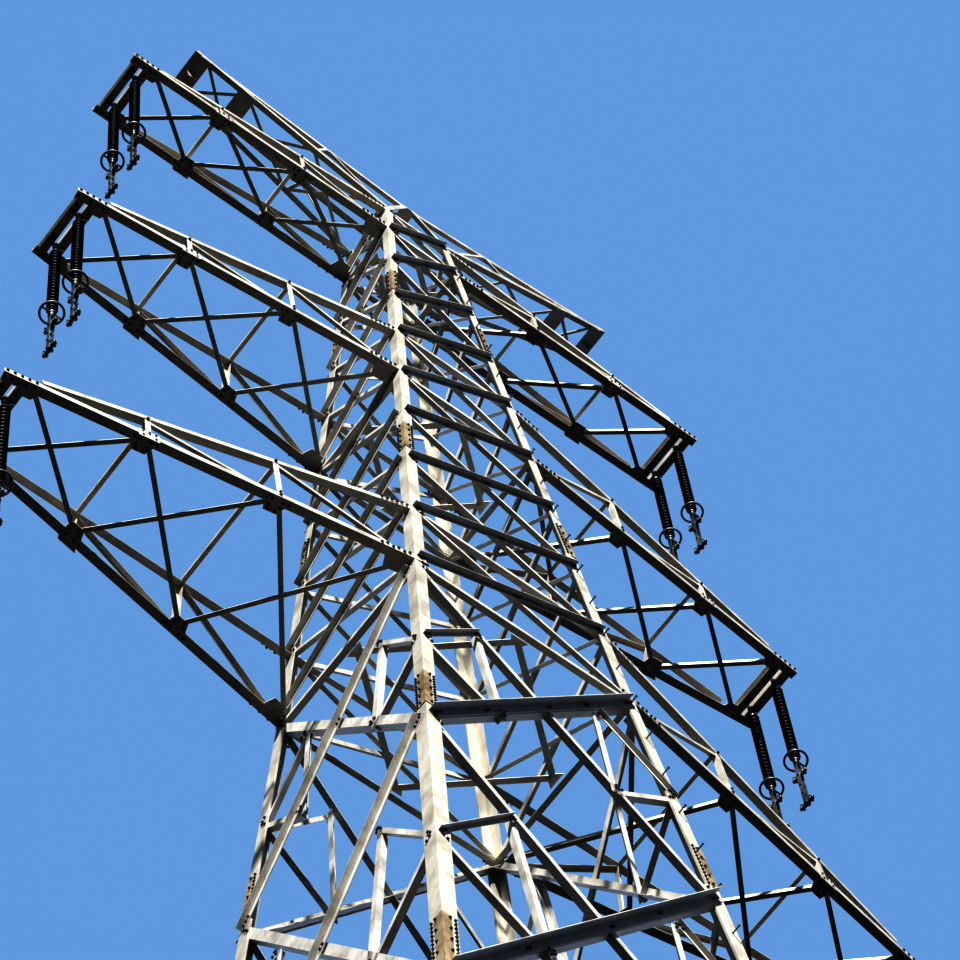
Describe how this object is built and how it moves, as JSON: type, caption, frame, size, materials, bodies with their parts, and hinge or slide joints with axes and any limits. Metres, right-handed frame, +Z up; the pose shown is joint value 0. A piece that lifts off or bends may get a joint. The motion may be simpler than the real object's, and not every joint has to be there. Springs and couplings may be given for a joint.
{
  "type": "1:2 scale model of a double-circuit lattice transmission pylon",
  "caption": "Half-size lattice steel tower of a double-circuit power line, with crossarms, raised earth-wire arms and suspension strings that swing.",
  "frame": {"origin": "on the ground, in the middle of the four feet", "axes": "+X along the crossarms to the right as seen from the front, +Y along the line away from the front, +Z up"},
  "size_m": [6.72, 4.9768, 32.324],
  "materials": {
    "tower_steel": "weathered pale coating over galvanised steel, matte",
    "foot_steel": "weathered galvanised steel, matte",
    "silicone_sheds": "dark brown silicone, satin",
    "string_steel": "galvanised fittings, dull"
  },
  "bodies": {
    "tower": {"bracing_lower_front": "tower_steel", "bracing_lower_left": "tower_steel", "bracing_lower_rear": "tower_steel", "bracing_lower_right": "tower_steel", "bracing_upper_front": "tower_steel", "bracing_upper_left": "tower_steel", "bracing_upper_rear": "tower_steel", "bracing_upper_right": "tower_steel", "earth_arm_left": "tower_steel", "earth_arm_right": "tower_steel", "feet": "foot_steel", "leg_left_front": "tower_steel", "leg_left_rear": "tower_steel", "leg_right_front": "tower_steel", "leg_right_rear": "tower_steel", "level_frames": "tower_steel", "lower_arm_left": "tower_steel", "lower_arm_right": "tower_steel", "middle_arm_left": "tower_steel", "middle_arm_right": "tower_steel", "peak_frame": "tower_steel", "string_lugs": "tower_steel", "upper_arm_left": "tower_steel", "upper_arm_right": "tower_steel"},
    "lower_left_strings": {"lower_arm_left_insulators": "silicone_sheds", "lower_arm_left_string_fittings": "string_steel"},
    "lower_right_strings": {"lower_arm_right_insulators": "silicone_sheds", "lower_arm_right_string_fittings": "string_steel"},
    "middle_left_strings": {"middle_arm_left_insulators": "silicone_sheds", "middle_arm_left_string_fittings": "string_steel"},
    "middle_right_strings": {"middle_arm_right_insulators": "silicone_sheds", "middle_arm_right_string_fittings": "string_steel"},
    "upper_left_strings": {"upper_arm_left_insulators": "silicone_sheds", "upper_arm_left_string_fittings": "string_steel"},
    "upper_right_strings": {"upper_arm_right_insulators": "silicone_sheds", "upper_arm_right_string_fittings": "string_steel"}
  },
  "joints": [
    {"name": "lower_left_swing", "type": "hinge", "parent": "tower", "child": "lower_left_strings", "pos_m": [-3.253, 0, 23.962], "axis": [0, 1, 0], "range_deg": [-45, 45]},
    {"name": "lower_right_swing", "type": "hinge", "parent": "tower", "child": "lower_right_strings", "pos_m": [3.253, 0, 23.962], "axis": [0, 1, 0], "range_deg": [-45, 45]},
    {"name": "middle_left_swing", "type": "hinge", "parent": "tower", "child": "middle_left_strings", "pos_m": [-2.831, 0, 27.489], "axis": [0, 1, 0], "range_deg": [-45, 45]},
    {"name": "middle_right_swing", "type": "hinge", "parent": "tower", "child": "middle_right_strings", "pos_m": [2.831, 0, 27.489], "axis": [0, 1, 0], "range_deg": [-45, 45]},
    {"name": "upper_left_swing", "type": "hinge", "parent": "tower", "child": "upper_left_strings", "pos_m": [-2.426, 0, 30.825], "axis": [0, 1, 0], "range_deg": [-45, 45]},
    {"name": "upper_right_swing", "type": "hinge", "parent": "tower", "child": "upper_right_strings", "pos_m": [2.426, 0, 30.825], "axis": [0, 1, 0], "range_deg": [-45, 45]}
  ]
}
